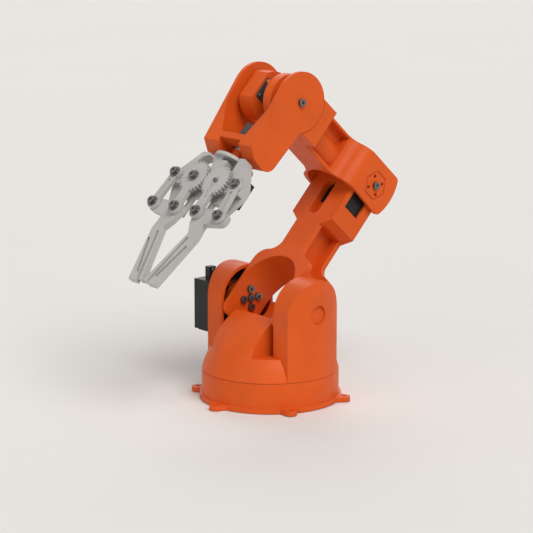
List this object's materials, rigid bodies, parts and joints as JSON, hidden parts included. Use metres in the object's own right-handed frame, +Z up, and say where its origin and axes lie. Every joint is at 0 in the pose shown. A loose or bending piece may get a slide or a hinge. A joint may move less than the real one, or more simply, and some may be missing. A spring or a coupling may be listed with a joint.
{
  "type": "robot arm",
  "caption": "Desktop jointed robot arm with a turning base, twin shoulder towers, forked arm links, a pitching and rolling wrist and a geared parallel-link gripper.",
  "frame": {"origin": "centre of the base ring's bolt circle, on the underside of the base", "axes": "+Z up along the turning axis of the base, +X the way the arm reaches at rest, +Y towards the shoulder tower with the pivot pin"},
  "size_m": [0.2562, 0.1588, 0.2834],
  "materials": {
    "orange_plastic": "satin moulded or printed plastic",
    "pale_grey_plastic": "satin plastic",
    "black_servo": "textured servo case",
    "dark_servo": "textured servo case",
    "horn_metal": "turned",
    "dark_steel": "black oxide"
  },
  "bodies": {
    "base": {"base_ring": "orange_plastic", "turn_servo": "black_servo"},
    "turntable": {"turn_horn": "horn_metal", "turret_shell": "orange_plastic", "tower_near": "orange_plastic", "tower_far": "orange_plastic", "pivot_cap": "orange_plastic", "shoulder_servo": "black_servo"},
    "upper_arm": {"upper_arm_near": "orange_plastic", "upper_arm_far": "orange_plastic", "shoulder_horn": "horn_metal", "shoulder_horn_screws": "dark_steel", "shoulder_pin": "dark_steel", "elbow_servo": "black_servo"},
    "forearm": {"forearm_near": "orange_plastic", "forearm_far": "orange_plastic", "elbow_horn": "horn_metal", "elbow_screw": "dark_steel", "elbow_pin": "dark_steel", "wrist_servo": "black_servo"},
    "wrist": {"wrist_bracket": "orange_plastic", "wrist_horn": "horn_metal", "wrist_screw": "dark_steel", "roll_servo": "dark_servo"},
    "gripper": {"roll_horn": "horn_metal", "gripper_neck": "orange_plastic", "gripper_flange": "pale_grey_plastic", "gripper_deck": "pale_grey_plastic", "gripper_frame": "pale_grey_plastic", "gripper_servo": "black_servo", "frame_pivot_screws": "dark_steel"},
    "gear_right": {"gear_right": "pale_grey_plastic", "gripper_horn": "horn_metal"},
    "gear_left": {"gear_left": "pale_grey_plastic"},
    "link_right": {"link_right": "pale_grey_plastic"},
    "link_left": {"link_left": "pale_grey_plastic"},
    "finger_right": {"finger_right": "pale_grey_plastic", "finger_screws_right": "dark_steel"},
    "finger_left": {"finger_left": "pale_grey_plastic", "finger_screws_left": "dark_steel"}
  },
  "joints": [
    {"name": "base_turn", "type": "hinge", "parent": "base", "child": "turntable", "pos_m": [0, 0, 0.025], "axis": [0, 0, 1], "range_deg": [-90, 90]},
    {"name": "shoulder", "type": "hinge", "parent": "turntable", "child": "upper_arm", "pos_m": [-0.003, 0, 0.08], "axis": [0, 1, 0], "range_deg": [-28, 40]},
    {"name": "elbow", "type": "hinge", "parent": "upper_arm", "child": "forearm", "pos_m": [-0.09234, 0, 0.17581], "axis": [0, 1, 0], "range_deg": [-180, 0]},
    {"name": "wrist_pitch", "type": "hinge", "parent": "forearm", "child": "wrist", "pos_m": [-0.00751, 0, 0.25492], "axis": [0, 1, 0], "range_deg": [-150, 0]},
    {"name": "wrist_roll", "type": "hinge", "parent": "wrist", "child": "gripper", "pos_m": [0.03519, 0, 0.20914], "axis": [0.682, 0, -0.7314], "range_deg": [-90, 90]},
    {"name": "gripper_open", "type": "hinge", "parent": "gripper", "child": "gear_right", "pos_m": [0.07077, 0.014, 0.19664], "axis": [0.7314, 0, 0.682], "range_deg": [0, 55]},
    {"name": "gear_left_turn", "type": "hinge", "parent": "gripper", "child": "gear_left", "pos_m": [0.07077, -0.014, 0.19664], "axis": [0.7314, 0, 0.682], "range_deg": [-55.2, 0.2]},
    {"name": "link_right_turn", "type": "hinge", "parent": "gripper", "child": "link_right", "pos_m": [0.07077, 0.039, 0.19664], "axis": [0.7314, 0, 0.682], "range_deg": [-0.2, 58.31]},
    {"name": "link_left_turn", "type": "hinge", "parent": "gripper", "child": "link_left", "pos_m": [0.07077, -0.039, 0.19664], "axis": [0.7314, 0, 0.682], "range_deg": [-58.31, 0.2]},
    {"name": "finger_right_turn", "type": "hinge", "parent": "gear_right", "child": "finger_right", "pos_m": [0.09191, 0.014, 0.17397], "axis": [0.7314, 0, 0.682], "range_deg": [-46.43, 0.2]},
    {"name": "finger_left_turn", "type": "hinge", "parent": "gear_left", "child": "finger_left", "pos_m": [0.09191, -0.014, 0.17397], "axis": [0.7314, 0, 0.682], "range_deg": [-0.2, 46.43]}
  ],
  "couplings": [
    {"joint": "gear_left_turn", "follows": "gripper_open", "ratio": -1},
    {"joint": "link_right_turn", "follows": "gripper_open", "ratio": 1.0566},
    {"joint": "link_left_turn", "follows": "gripper_open", "ratio": -1.0566},
    {"joint": "finger_right_turn", "follows": "gripper_open", "ratio": -0.8406},
    {"joint": "finger_left_turn", "follows": "gripper_open", "ratio": 0.8406}
  ]
}
